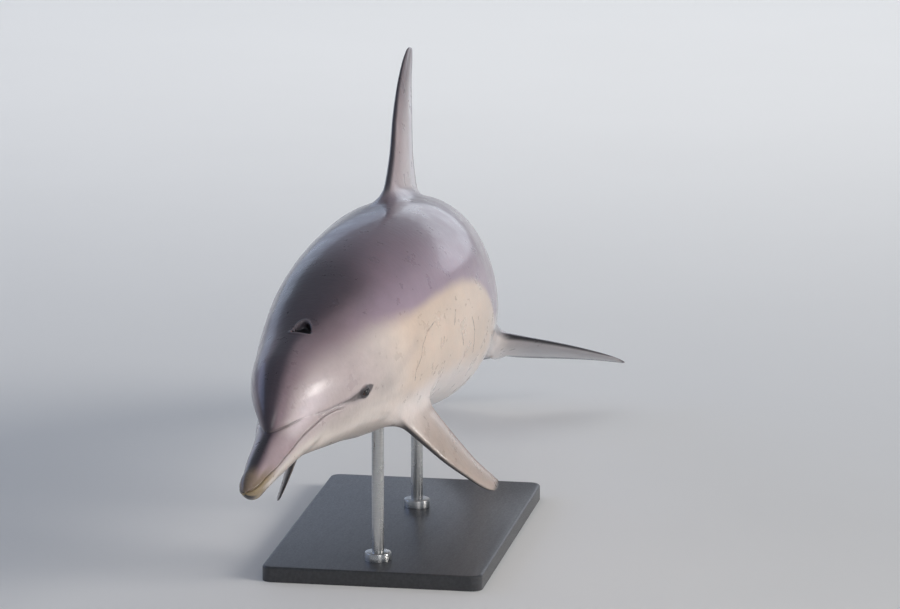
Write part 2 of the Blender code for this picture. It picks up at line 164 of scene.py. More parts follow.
FLIPPER_SWEEP = 29.0
FLIPPER_DROOP = 60.5
FLIPPER_TWIST = 35.0
FIN_EDGE = 0.0006
FIN_TIP_ROUND = 0.32

# ---------------- density of the skin's mesh
# Position and spacing. Turns are in degrees, stations in percent of the length.
TURN_GAPS = ((0, 0.75), (14, 0.75), (18, 2.0), (46, 2.2), (53, 1.15), (76, 1.1), (80, 0.7), (97, 0.7),
             (101, 1.3), (106, 1.6), (114, 2.7), (168, 2.7), (174, 1.1), (180, 1.1))
TIP_RINGS = 22
HEAD_GAPS = ((1.7, 0.12), (5.8, 0.13), (6.5, 0.08), (10.0, 0.085), (11.0, 0.13), (14.4, 0.12),
             (15.2, 0.065), (17.8, 0.065), (18.6, 0.18), (21.0, 0.28))
BODY_GAPS = ((21.0, 0.3), (24.0, 0.48), (59.0, 0.48), (60.5, 0.22), (66.5, 0.22), (68.0, 0.48),
             (94.0, 0.45), (98.0, 0.2), (99.2, 0.1))
HEAD_END = 21.0
TAIL_TAPER = 95.5
TAIL_END = 99.2
TAIL_CAP = 0.1
FIN_CHORD_POINTS = 26
FIN_SPAN_RINGS = 46
FIN_TIP_CROWDING = 1.35
FIN_NOSE_POWER = 0.5
FIN_TAIL_POWER = 1.1
DORSAL_FILLET = 22 * MM
FLUKE_FILLET = 16 * MM
FLIPPER_FILLET = 30 * MM
SEAM_REACH = 26 * MM
SEAM_EDGE = 5.5 * MM


# ---------------- shape functions
def smooth_table(table, column, at):
    """Monotone cubic through one column of a table whose first column is the position."""
    xs = np.array([row[0] for row in table], float)
    ys = np.array([row[column] for row in table], float)
    step = np.diff(xs)
    slope = np.diff(ys) / step
    tangent = np.concatenate([slope[:1], np.zeros(len(xs) - 2), slope[-1:]])
    for i in range(1, len(xs) - 1):
        if slope[i - 1] * slope[i] > 0:
            before = 2 * step[i] + step[i - 1]
            after = step[i] + 2 * step[i - 1]
            tangent[i] = (before + after) / (before / slope[i - 1] + after / slope[i])
    at = np.clip(at, xs[0], xs[-1])
    i = np.clip(np.searchsorted(xs, at) - 1, 0, len(xs) - 2)
    t = (at - xs[i]) / step[i]
    return ((1 + 2 * t) * (1 - t) ** 2 * ys[i] + t * (1 - t) ** 2 * step[i] * tangent[i]
            + t * t * (3 - 2 * t) * ys[i + 1] + t * t * (t - 1) * step[i] * tangent[i + 1])


def smooth_step(value, low, high):
    t = np.clip((value - low) / (high - low), 0, 1)
    return t * t * (3 - 2 * t)


def fade_out(value, low, high):
    return 1 - smooth_step(value, low, high)


def bell(value, width):
    return np.exp(-(value / width) ** 2)


def rounded_start(station, start, swell, power=2.0):
    t = np.clip((station - start) / swell, 0, 1)
    return np.maximum((1 - (1 - t) ** power) ** (1 / power), 1e-3)


def smooth_larger(a, b, softness):
    h = np.clip(0.5 + 0.5 * (a - b) / softness, 0, 1)
    return b * (1 - h) + a * h + softness * h * (1 - h)


def polar_radius(up, down, side, turn, upper_power, lower_power):
    rise = np.cos(turn)
    height = np.where(rise > 0, up, down)
    power = np.where(rise > 0, upper_power, lower_power)
    return ((np.abs(np.sin(turn)) / side) ** power + (np.abs(rise) / height) ** power) ** (-1 / power)


def body_radius(station, turn):
    start = CREASE + CREASE_SLANT * np.sin(turn) ** 2
    swell = [rounded_start(station, start, MELON_RISE),
             rounded_start(station, start, THROAT_SWELL, 1.8),
             rounded_start(station, start, CHEEK_SWELL)]
    return polar_radius(*[smooth_table(BODY, k + 1, station) * swell[k] for k in range(3)], turn,
                        smooth_table(UPPER_SQUARENESS, 1, station),
                        smooth_table(LOWER_SQUARENESS, 1, station))


def beak_radius(station, turn):
    tip = rounded_start(station, 0, BEAK_TIP_ROUND)
    beak = polar_radius(*[smooth_table(BEAK, k, station) * tip for k in (1, 2, 3)], turn,
                        BEAK_SQUARENESS, BEAK_SQUARENESS)
    return np.where(station > BEAK_END, 0, beak)


def skin_radius(station, turn):
    """Distance of the plain skin from the spine line; turn is in radians."""
    radius = smooth_larger(body_radius(station, turn), beak_radius(station, turn), CREASE_SOFTNESS)
    taper = np.clip((station - TAIL_TAPER) / (TAIL_END + TAIL_CAP - TAIL_TAPER), 0, 1)
    return radius * np.sqrt(1 - taper ** 2) * PERCENT


def plain_skin(station, turn):
    """Points of the plain skin; turn is in degrees."""
    station, turn = np.broadcast_arrays(np.asarray(station, float), np.radians(turn))
    radius = skin_radius(station, turn)
    return np.stack([radius * np.sin(turn), station * PERCENT, radius * np.cos(turn)], -1)


def plain_normal(station, turn):
    ahead, behind = plain_skin(station - 0.05, turn), plain_skin(station + 0.05, turn)
    before, after = plain_skin(station, turn - 0.5), plain_skin(station, turn + 0.5)
    normal = np.cross(after - before, behind - ahead)
    return normal / np.maximum(np.linalg.norm(normal, axis=-1, keepdims=True), 1e-12)


def turn_of(points):
    """Turn in degrees of straight points, negative on the animal's right."""
    return np.degrees(np.arctan2(points[:, 0], points[:, 2]))


def on_left(points):
    """Straight points, with those on the animal's right mirrored to its left."""
    return np.where(points[:, :1] < 0, points * np.array([-1, 1, 1]), points)


def spine_curve():
    """Station, position and backward direction along the bent spine line."""
    station = np.linspace(-2, 108, 441)
    pitch = np.radians(smooth_table(SPINE_PITCH, 1, station))
    yaw = np.radians(smooth_table(SPINE_YAW, 1, station))
    back = np.stack([np.sin(yaw) * np.cos(pitch), np.cos(yaw) * np.cos(pitch), -np.sin(pitch)], 1)
    steps = (back[1:] + back[:-1]) / 2 * (station[1] - station[0]) * PERCENT
    place = np.concatenate([np.zeros((1, 3)), np.cumsum(steps, 0)])
    middle = [np.interp(MID_STATION, station, place[:, k]) for k in range(3)]
    return station, place - middle, back


SPINE = spine_curve()


def rotated(a, b, degrees):
    """A pair of coordinates turned in its plane."""
    cos, sin = math.cos(math.radians(degrees)), math.sin(math.radians(degrees))
    return a * cos - b * sin, a * sin + b * cos


def posed(points):
    """Move points of the straight animal to their place over the stand."""
    points = np.asarray(points, float)
    station, place, back = SPINE
    at = points[..., 1] / PERCENT
    origin = np.stack([np.interp(at, station, place[:, k]) for k in range(3)], -1)
    backward = np.stack([np.interp(at, station, back[:, k]) for k in range(3)], -1)
    left = np.cross(backward, [0.0, 0.0, 1.0])
    left /= np.linalg.norm(left, axis=-1, keepdims=True)
    up = np.cross(left, backward)
    bent = origin + left * points[..., :1] + up * points[..., 2:]
    x, z = rotated(bent[..., 0], bent[..., 2], BODY_BANK)
    y, z = rotated(bent[..., 1], z, -BODY_PITCH)
    return np.stack([x, y + MID_OFFSET, z + MID_HEIGHT], -1)


# ---------------- lines and openings on the skin
def dense(points, count):
    """Resample a list of (station, turn) on a smooth curve and put it on the plain skin."""
    points = np.array(points, float)
    table = np.column_stack([np.linspace(0, 1, len(points)), points])
    t = np.linspace(0, 1, count)
    return plain_skin(smooth_table(table, 1, t), smooth_table(table, 2, t))


def mouth_height(station):
    return smooth_table(MOUTH, 1, station)


def mouth_line():
    """The closed lips on the animal's left, from the front of the tip to the corner."""
    turns = np.linspace(0, 150, 601)
    angles = np.radians(turns)
    line = []
    for station in np.linspace(0.03, MOUTH[-1][0], 170):
        height = skin_radius(np.full(len(turns), station), angles) / PERCENT * np.cos(angles)
        if height[0] > mouth_height(station):
            line.append((station, np.interp(-mouth_height(station), -height, turns)))
    return plain_skin(*np.array(line).T)


def crease_line():
    """Where the melon rises from the beak, from the top of the head to the side."""
    stations = np.linspace(CREASE, 14, 1501)
    line = []
    for turn in np.linspace(0, CREASE_REACH, 50):
        at = np.full(len(stations), math.radians(turn))
        on_melon = body_radius(stations, at) > beak_radius(stations, at)
        line.append((stations[np.argmax(on_melon)], turn))
    return plain_skin(*np.array(line).T)


def line_distance(points, line):
    """Distance of points to a polyline, and the share of the line's length at the nearest place."""
    best = np.full(len(points), np.inf)
    share = np.zeros(len(points))
    lengths = np.linalg.norm(np.diff(line, axis=0), axis=1)
    run = np.concatenate([[0], np.cumsum(lengths)])
    for start, end, length, before in zip(line[:-1], line[1:], lengths, run):
        along = (end - start) / length
        t = np.clip((points - start) @ along, 0, length)
        gap = np.linalg.norm(points - start - t[:, None] * along, axis=1)
        nearer = gap < best
        best[nearer] = gap[nearer]
        share[nearer] = (before + t[nearer]) / run[-1]
    return best, share


CREASE_REACH = 64.0
STRIPE = ((11.1, 69), (12.0, 76), (12.8, 80), (13.9, 83.6), (14.75, 86.7), (15.6, 88.5), (16.6, 90))
EYE_OPENING = (10.5 * MM, 5.2 * MM)
EYE_PATCH = (25 * MM, 10.5 * MM)
EYE_PATCH_SHIFT = 1.5 * MM
LID_THICKNESS = 1.3 * MM
EYE_REACH = 0.06
FACE_END = 20
# Given as the distance wherever a feature is out of reach.
FAR = 1.0


def side_frame(station, turn):
    """Point of the plain skin with its normal and the directions back and up along the skin."""
    centre = plain_skin(station, turn)
    normal = plain_normal(np.float64(station), np.float64(turn))
    back = np.array([0.0, 1.0, 0.0]) - normal * normal[1]
    back /= np.linalg.norm(back)
    up = np.cross(back, normal)
    return centre, normal, back, up * np.sign(up[2])


def almond(along, across, half_length, half_height):
    """Signed distance, about, to the rim of an almond shape."""
    share = np.clip(1 - (along / half_length) ** 2, 0, 1)
    beside = np.abs(across) - half_height * share ** 0.8
    beyond = np.hypot(np.maximum(np.abs(along) - half_length, 0), across)
    return np.where(np.abs(along) < half_length, beside, beyond)


def blowhole_gap(points):
    """Signed distance, about, to the rim of the open blowhole; its front edge is nearly straight."""
    across = (points[:, 0] - BLOWHOLE_SIDE) / (BLOWHOLE_WIDTH / 2)
    back = points[:, 1] - BLOWHOLE_STATION * PERCENT
    bow = np.sqrt(np.clip(1 - across ** 2, 0, 1))
    gap = np.maximum((back - BLOWHOLE_LENGTH * bow) * 0.75, -BLOWHOLE_BOW * bow - back)
    beside = np.hypot((np.abs(across) - 1) * BLOWHOLE_WIDTH / 2, back)
    gap = np.maximum(gap, (np.abs(across) - 1) * BLOWHOLE_WIDTH / 2)
    gap = np.where(np.abs(across) < 1, gap, beside)
    return np.where(points[:, 2] > 0, gap, FAR)


MOUTH_LINE = mouth_line()
CREASE_LINE = crease_line()
STRIPE_LINE = dense(STRIPE, 60)
EYE_FRAME = side_frame(EYE_STATION, EYE_ANGLE)


def features(points):
    """Distances of straight points to the face's lines and openings, the same on both sides."""
    station = points[:, 1] / PERCENT
    left = on_left(points)
    head = station < FACE_END
    found = {}
    for name, line in (("mouth", MOUTH_LINE), ("crease", CREASE_LINE), ("stripe", STRIPE_LINE)):
        gap, share = np.full(len(points), FAR), np.zeros(len(points))
        gap[head], share[head] = line_distance(left[head], line)
        found[name], found[name + "_share"] = gap, share
    centre, normal, back, up = EYE_FRAME
    offset = left - centre
    along, across = offset @ back, offset @ up
    found["eye_along"], found["eye_across"], found["eye_out"] = along, across, offset @ normal
    near = head & (np.linalg.norm(offset, axis=1) < EYE_REACH)
    found["eye"] = np.where(near, almond(along, across, *EYE_OPENING), FAR)
    found["eye_patch"] = np.where(near, almond(along - EYE_PATCH_SHIFT, across, *EYE_PATCH), FAR)
    found["blowhole"] = blowhole_gap(points)
    found["above_lips"] = points[:, 2] / PERCENT > mouth_height(station)
    return found


def relief(points):
    """How far the skin stands proud of its plain shape."""
    station = points[:, 1] / PERCENT
    turn = np.abs(turn_of(points))
    f = features(points)
    # Two lips with a groove between them, which closes at the corner of the mouth.
    closed = fade_out(f["mouth_share"], 0.96, 1.0)
    lip = np.where(f["above_lips"], 0.5 * bell(f["mouth"] - 3.2 * MM, 2.2 * MM),
                   0.9 * bell(f["mouth"] - 3.6 * MM, 2.6 * MM))
    rise = MM * closed * (lip - 2.0 * bell(f["mouth"], 1.3 * MM))
    # The crease of the melon, with a ridge behind its sides.
    side = smooth_step(f["crease_share"], 0.1, 0.5)
    rise -= MM * (2.2 - 0.8 * side) * bell(f["crease"], 1.8 * MM)
    ridge = bell(f["crease"] - 5 * MM, 3.2 * MM) * (station < 10) * side
    rise += MM * 1.4 * ridge * (points[:, 1] < CREASE_LINE[0, 1] + 0.035)
    rise -= MM * 0.8 * bell(f["stripe"], 2.2 * MM) * smooth_step(f["eye"], 1 * MM, 6 * MM)
    # The blowhole with its rim, and the dip behind it.
    gap = f["blowhole"]
    rise += MM * np.where(gap > 0, 1.3 * bell(gap - 2 * MM, 2.5 * MM), 0)
    rise -= 13 * MM * smooth_step(-gap, -0.6 * MM, 3.0 * MM)
    rise -= 2.2 * MM * bell(turn, 9) * bell(station - 20.5, 2.6)
    # The slit under the tail, the navel and the ear pits.
    slit = smooth_step(station, 60.8, 61.6) * fade_out(station, 65.2, 66.0)
    rise -= 3.0 * MM * (bell(turn - 180, 1.6) * slit)
    rise -= 1.5 * MM * bell(np.hypot((turn - 180) / 3.0, (station - 46) / 0.35), 1)
    rise -= 1.2 * MM * bell(np.hypot((turn - 92) / 1.3, (station - 19.2) / 0.11), 1)
    return rise


def eyelids(points):
    """Shift of points near an eye that wraps the skin over the eyeball and opens the lids."""
    f = features(points)
    along, across, out = f["eye_along"], f["eye_across"], f["eye_out"]
    spread = np.hypot(along, across)
    ball = np.sqrt(np.clip(EYE_RADIUS ** 2 - spread ** 2, 0, None)) - EYE_DEPTH
    lid = smooth_larger(ball + LID_THICKNESS, out, 5 * MM)
    inside = fade_out(f["eye"], -0.9 * MM, 0.5 * MM)
    height = lid * (1 - inside) + (ball - 3 * MM) * inside
    weight = fade_out(spread, 18 * MM, 30 * MM) * (f["eye"] < FAR)
    shift = np.where(weight > 0, (height - out) * weight, 0)
    mirror = np.where(points[:, :1] < 0, [[-1.0, 1.0, 1.0]], 1.0)
    return shift[:, None] * EYE_FRAME[1] * mirror


# ---------------- meshes
def in_scene(name, data):
    obj = bpy.data.objects.new(name, data)
    bpy.context.scene.collection.objects.link(obj)
    return obj


def new_object(name, verts, faces):
    mesh = bpy.data.meshes.new(name)
    mesh.from_pydata(np.asarray(verts).tolist(), [], faces)
    mesh.update()
    return in_scene(name, mesh)


def graded(gaps, start, end):
    """Positions from start to end whose spacing follows a table of position and spacing."""
    fine = np.linspace(start, end, 6001)
    gap = np.interp(fine, [row[0] for row in gaps], [row[1] for row in gaps])
    steps = np.concatenate([[0], np.cumsum((1 / gap[1:] + 1 / gap[:-1]) / 2 * np.diff(fine))])
    count = 2 * math.ceil(steps[-1] / 2)
    return np.interp(np.linspace(0, steps[-1], count + 1), steps, fine)


def ring_faces(rings, around, first=0):
    """Quads between rings of equally many vertices, numbered from first."""
    ring = np.arange(around)
    after = np.roll(ring, -1)
    faces = []
    for r in range(rings - 1):
        low, high = first + r * around, first + (r + 1) * around
        faces += np.stack([low + ring, low + after, high + after, high + ring], 1).tolist()
    return faces


def tube_faces(rings, around):
    """Faces of a tube with a cap at each end."""
    ring = np.arange(around)
    return ring_faces(rings, around) + [ring[::-1].tolist(), (ring + (rings - 1) * around).tolist()]


def raised_skin(stations, turns):
    """Points of the straight skin with its relief, for each station and turn."""
    points = plain_skin(stations[:, None], turns[None, :]).reshape(-1, 3)
    normals = plain_normal(*[a.ravel() for a in np.meshgrid(stations, turns, indexing="ij")])
    return points + normals * relief(points)[:, None]


def skin_grid():
    """Vertices and faces of the straight skin: full rings on the head, half as dense behind it."""
    half = graded(TURN_GAPS, 0, 180)
    turns = np.concatenate([half, -half[-2:0:-1]])
    around = len(turns)
    coarse = around // 2
    tip = BEAK_TIP_ROUND * (1 - np.cos(np.linspace(0, math.pi / 2, TIP_RINGS + 1)))[1:]
    head = np.concatenate([tip[:-1], graded(HEAD_GAPS, BEAK_TIP_ROUND, HEAD_END)])
    body = graded(BODY_GAPS, HEAD_END, TAIL_END)[1:]
    head_points = raised_skin(head, turns)
    head_points = head_points + eyelids(head_points)
    ends = [[0, 0, 0], [0, (TAIL_END + TAIL_CAP) * PERCENT, 0]]
    verts = np.concatenate([head_points, raised_skin(body, turns[::2]), ends])
    faces = ring_faces(len(head), around)
    first = len(head_points)
    last = first - around
    for k in range(coarse):
        a, b, c = last + 2 * k, last + 2 * k + 1, last + (2 * k + 2) % around
        d, e = first + k, first + (k + 1) % coarse
        faces += [[a, b, d], [b, e, d], [b, c, e]]
    faces += ring_faces(len(body), coarse, first)
    tip_index, end_index = len(verts) - 2, len(verts) - 1
    faces += [[(k + 1) % around, k, tip_index] for k in range(around)]
    final = first + (len(body) - 1) * coarse
    faces += [[final + k, final + (k + 1) % coarse, end_index] for k in range(coarse)]
    return verts, faces


def face_outwards(mesh):
    bm = bmesh.new()
    bm.from_mesh(mesh)
    bmesh.ops.recalc_face_normals(bm, faces=bm.faces)
    bm.to_mesh(mesh)
    bm.free()


def fin_mesh(name, table, origin, spanwise, chordwise, twist=((0, 0.0), (1, 0.0))):
    """Closed fin lofted from its table along unit vectors; twist turns the chord, in degrees."""
    sideways = np.cross(spanwise, chordwise)
    c = (1 - np.cos(np.linspace(0, math.pi, FIN_CHORD_POINTS + 1))) / 2
    nose, tail = FIN_NOSE_POWER, FIN_TAIL_POWER
    peak = nose / (nose + tail)
    profile = (c / peak) ** nose * ((1 - c) / (1 - peak)) ** tail
    first, last = table[0][0], table[-1][0]
    rings = []
    for t in np.linspace(0, 1, FIN_SPAN_RINGS + 1):
        span = last - (last - first) * (1 - t) ** FIN_TIP_CROWDING
        at = np.array([span])
        lead, trail, thick = (float(smooth_table(table, k, at)[0]) * PERCENT for k in (1, 2, 3))
        half = np.maximum(thick / 2 * profile, FIN_EDGE * np.sqrt(c))
        along = np.concatenate([c, c[:0:-1]]) * (trail - lead)
        offset = np.concatenate([half, -half[:0:-1]])
        near_tip = max(0.0, 1 - (last - span) / FIN_TIP_ROUND)
        shrink = math.sqrt(max(1 - near_tip ** 2, 0.01))
        along, offset = (along - (trail - lead) / 2) * shrink, offset * shrink
        turn = math.radians(float(smooth_table(twist, 1, at)[0]))
        chord_way = chordwise * math.cos(turn) - sideways * math.sin(turn)
        thick_way = sideways * math.cos(turn) + chordwise * math.sin(turn)
        centre = origin + spanwise * span * PERCENT + chordwise * (lead + trail) / 2
        rings.append(centre + np.outer(along, chord_way) + np.outer(offset, thick_way))
    obj = new_object(name, np.concatenate(rings), tube_faces(len(rings), len(rings[0])))
    face_outwards(obj.data)
    return obj


def flipper_axes(sign):
    sweep, droop, twist = (math.radians(v) for v in (FLIPPER_SWEEP, FLIPPER_DROOP, FLIPPER_TWIST))
    spanwise = np.array([math.cos(sweep) * math.cos(droop), math.sin(sweep) * math.cos(droop),
                         -math.sin(droop)])
    level = np.array([-math.sin(sweep), math.cos(sweep), 0.0])
    rise = np.cross(spanwise, level)
    chordwise = level * math.cos(twist) + rise * math.sin(twist)
    mirror = np.array([sign, 1.0, 1.0])
    return spanwise * mirror, chordwise * mirror


def flipper_root(sign):
    root = plain_skin(FLIPPER_STATION, sign * FLIPPER_ANGLE)
    inward = np.array([root[0], 0.0, root[2]])
    return root - inward / np.linalg.norm(inward) * FLIPPER_SINK


def make_fins():
    """The straight fins, each with the size of the fillet at its root."""
    up, back, left = np.eye(3)[[2, 1, 0]]
    fins = [(fin_mesh("dorsal", DORSAL_FIN, np.zeros(3), up, back, DORSAL_TWIST), DORSAL_FILLET)]
    for sign in (1, -1):
        lobe = fin_mesh("lobe", FLUKE, -left * sign * MM, left * sign, back)
        flipper = fin_mesh("flipper", FLIPPER, flipper_root(sign), *flipper_axes(sign))
        fins += [(lobe, FLUKE_FILLET), (flipper, FLIPPER_FILLET)]
    return fins


def unite(obj, others):
    for other in others:
        modifier = obj.modifiers.new("unite", "BOOLEAN")
        modifier.operation = "UNION"
        modifier.solver = "EXACT"
        modifier.object = other
        bpy.context.view_layer.update()
        result = obj.evaluated_get(bpy.context.evaluated_depsgraph_get())
        result = bpy.data.meshes.new_from_object(result)
        obj.modifiers.clear()
        obj.data = result


def coordinates(mesh):
    points = np.empty(len(mesh.vertices) * 3)
    mesh.vertices.foreach_get("co", points)
    return points.reshape(-1, 3)


def set_coordinates(mesh, points):
    mesh.vertices.foreach_set("co", np.asarray(points, float).ravel())
    mesh.update()


def add_attribute(mesh, name, values):
    """Give each vertex a number or a vector for the materials to read."""
    values = np.asarray(values, np.float32)
    kind, field = ("FLOAT", "value") if values.ndim == 1 else ("FLOAT_VECTOR", "vector")
    mesh.attributes.new(name, kind, "POINT").data.foreach_set(field, values.ravel())


def body_gap(points):
    """Height of straight points over the plain skin, about, and its direction."""
    station = points[:, 1] / PERCENT
    turn = turn_of(points)
    normal = plain_normal(station, turn)
    radial = np.stack([points[:, 0], np.zeros(len(points)), points[:, 2]], 1)
    radius = np.linalg.norm(radial, axis=1)
    slope = np.einsum("ij,ij->i", normal, radial) / np.maximum(radius, 1e-9)
    gap = (radius - skin_radius(station, np.radians(turn))) * slope
    away = points - [0, TAIL_END * PERCENT, 0]
    reach = np.linalg.norm(away, axis=1)
    past = station > TAIL_END
    normal[past] = away[past] / reach[past, None]
    return np.where(past, reach, gap), normal


def tree_gap(tree, points, reach):
    """Signed distance of points to a closed mesh, at most reach, and its direction."""
    gap = np.full(len(points), reach)
    direction = np.zeros((len(points), 3))
    for i, point in enumerate(points):
        place, normal, _, distance = tree.find_nearest(Vector(point), reach)
        if place is None:
            continue
        away = point - np.array(place)
        sign = 1.0 if away @ np.array(normal) >= 0 else -1.0
        gap[i] = sign * distance
        direction[i] = away / distance * sign if distance > 1e-6 else np.array(normal)
    return gap, direction


def refine_seams(obj, trees, reach, longest):
    """Split long edges near the joint of a fin and the body."""
    bm = bmesh.new()
    bm.from_mesh(obj.data)
    for _ in range(2):
        bm.verts.ensure_lookup_table()
        points = np.array([v.co for v in bm.verts])
        lift, _ = body_gap(points)
        near = np.zeros(len(points), bool)
        candidates = np.flatnonzero((np.abs(lift) < reach) & (points[:, 1] > HEAD_END * PERCENT))
        for tree, _ in trees:
            gap, _ = tree_gap(tree, points[candidates], reach)
            near[candidates[np.abs(gap) < reach]] = True
        edges = [e for e in bm.edges
                 if near[e.verts[0].index] and near[e.verts[1].index] and e.calc_length() > longest]
        bmesh.ops.subdivide_edges(bm, edges=edges, cuts=1, use_grid_fill=True)
        bmesh.ops.triangulate(bm, faces=[f for f in bm.faces if len(f.verts) > 4])
        bm.verts.index_update()
    bmesh.ops.remove_doubles(bm, verts=bm.verts, dist=0.15 * MM)
    bmesh.ops.triangulate(bm, faces=bm.faces)
    bm.to_mesh(obj.data)
    bm.free()


def soften_seams(obj, trees):
    """Move the skin near each fin's root out to a smooth fillet between fin and body."""
    points = coordinates(obj.data)
    for tree, softness in trees:
        lift, _ = body_gap(points)
        near = np.flatnonzero((lift < softness) & (points[:, 1] > HEAD_END * PERCENT))
        gap, _ = tree_gap(tree, points[near], softness)
        near = near[gap < softness * 0.999]
        for _ in range(5):
            lift, body_way = body_gap(points[near])
            gap, fin_way = tree_gap(tree, points[near], softness * 1.2)
            h = np.clip(0.5 + 0.5 * (gap - lift) / softness, 0, 1)
            level = gap * (1 - h) + lift * h - softness * h * (1 - h)
            way = fin_way * (1 - h)[:, None] + body_way * h[:, None]
            size = np.linalg.norm(way, axis=1)
            points[near] -= way * (np.minimum(level, 0) / np.maximum(size, 0.5) ** 2)[:, None]
    set_coordinates(obj.data, points)


def make_skin():
    """The straight skin with its fins."""
    skin = new_object("dolphin_skin", *skin_grid())
    face_outwards(skin.data)
    fins = make_fins()
    unite(skin, [fin for fin, _ in fins])
    trees = []
    for fin, softness in fins:
        bm = bmesh.new()
        bm.from_mesh(fin.data)
        trees.append((BVHTree.FromBMesh(bm), softness))
        bm.free()
        bpy.data.objects.remove(fin)
    refine_seams(skin, trees, SEAM_REACH, SEAM_EDGE)
    soften_seams(skin, trees)
    return skin


# ---------------- markings
# Stations with the turn where a marking ends, and how soft that edge is, in degrees.
CAPE_EDGE = ((0, 42), (3, 38), (6, 26), (8, 30), (10, 27), (12, 27), (14, 31), (16, 39), (18, 45),
             (20, 51), (22, 57), (25, 64), (28, 67), (33, 68), (38, 70), (44, 80), (49, 99), (53, 88),
             (60, 63), (70, 48), (85, 42), (99, 60))
CAPE_SOFTNESS = ((0, 11), (6, 9), (8, 11), (12, 12), (16, 15), (20, 13), (24, 8), (28, 4.5),
                 (44, 4.5), (52, 6), (60, 10), (75, 14), (99, 14))
BAND_EDGE = ((0, 24), (2, 25), (4, 20), (6, 14), (8, 12), (11, 10), (14, 7), (17, 12), (20, 20),
             (24, 22), (30, 22), (40, 16), (46, 10))
BELLY_EDGE = ((0, 95), (14, 108), (20, 118), (30, 122), (42, 118), (50, 112), (60, 108), (75, 104),
              (99, 96))
# Paths over the skin, as station and turn.
NECK_FOLD = ((14.1, 107.6), (15.5, 110.5), (17.4, 111), (19.5, 108.3), (21.2, 104), (23.1, 99),
             (25.0, 93))
FLIPPER_STRIPE = ((13.8, 98), (17.5, 108), (21.5, 116), (24.5, 124))
TRUNK_RADIUS = 0.165
SCRATCH_SCALE = math.radians(1) * TRUNK_RADIUS
SCRATCHES = (
    ((29.2, 82), (27.5, 84.5), (26.2, 91), (25.8, 97.6), (24.6, 106.7), (24.6, 113.6)),
    ((38.7, 94), (39.7, 103), (40.4, 112.7), (40.9, 117.6)),
    ((30.9, 96.6), (30.7, 101.3)),
    ((34.2, 84), (33.6, 93)),
    ((35.6, 101), (36.6, 110)),
    ((31.8, -88), (30.7, -97), (30.9, -106)),
    ((37.6, -92), (38.9, -104)),
    ((57.0, 70), (60.5, 78)),
    ((63.0, -66), (66.0, -80)),
)
SCRATCH_WIDTH = 2.1
# The distances that the material reads are in millimetres and end here.
FAR_MM = 40.0


def fin_shares(points, station):
    """For each kind of fin: mask, and chord and span shares of the points on it."""
    lift, _ = body_gap(points)
    on_fin = smooth_step(lift, 3 * MM, 26 * MM)
    height = points[:, 2] / PERCENT
    found = {}
    for name, table, span, where in (
            ("dorsal", DORSAL_FIN, height, (station > 38) & (station < 62) & (height > 5)),
            ("fluke", FLUKE, np.abs(points[:, 0]) / PERCENT, station > 88)):
        lead, trail = smooth_table(table, 1, span), smooth_table(table, 2, span)
        chord = np.clip((station - lead) / (trail - lead), 0, 1)
        found[name] = on_fin * where, chord, np.clip(span / table[-1][0], 0, 1)
    spanwise, chordwise = flipper_axes(1)
    offset = (on_left(points) - flipper_root(1)) / PERCENT
    span, across = offset @ spanwise, offset @ chordwise
    lead, trail = smooth_table(FLIPPER, 1, span), smooth_table(FLIPPER, 2, span)
    where = (station > 20) & (station < 50) & (height < -1)
    found["flipper"] = (on_fin * where, np.clip((across - lead) / (trail - lead), 0, 1),
                        np.clip(span / FLIPPER[-1][0], 0, 1))
    return found


def stripes_and_painted_shade(left, station, turn):
    """The blurred flipper stripe, and painted shade under the eye stripe, behind the eye and above the neck
    fold, the last two partly grey marking.
    """
    stripe = np.zeros(len(left))
    front = station < 30
    # The flipper stripe from the jaw, a marking of the skin.
    gap, _ = line_distance(left[front], dense(FLIPPER_STRIPE, 40))
    stripe[front] = 0.55 * bell(gap, 11 * MM)
    # A band above the neck fold's lit ridge: partly a grey marking, partly painted shade.
    gap, _ = line_distance(left[front], dense(NECK_FOLD, 40) + np.array([0, 0, 16 * MM]))
    stripe[front] = np.maximum(stripe[front], 0.6 * bell(gap, 13 * MM))
    # Behind the eye: partly a faint stripe, partly painted shade.
    stripe = np.maximum(stripe, bell(station - 19.6, 2.2) * bell(turn - 100, 12))
    # Painted shade on the throat, under the eye stripe.
    return np.maximum(stripe, 0.8 * bell(station - 14.5, 3.5) * bell(turn - 103, 12))


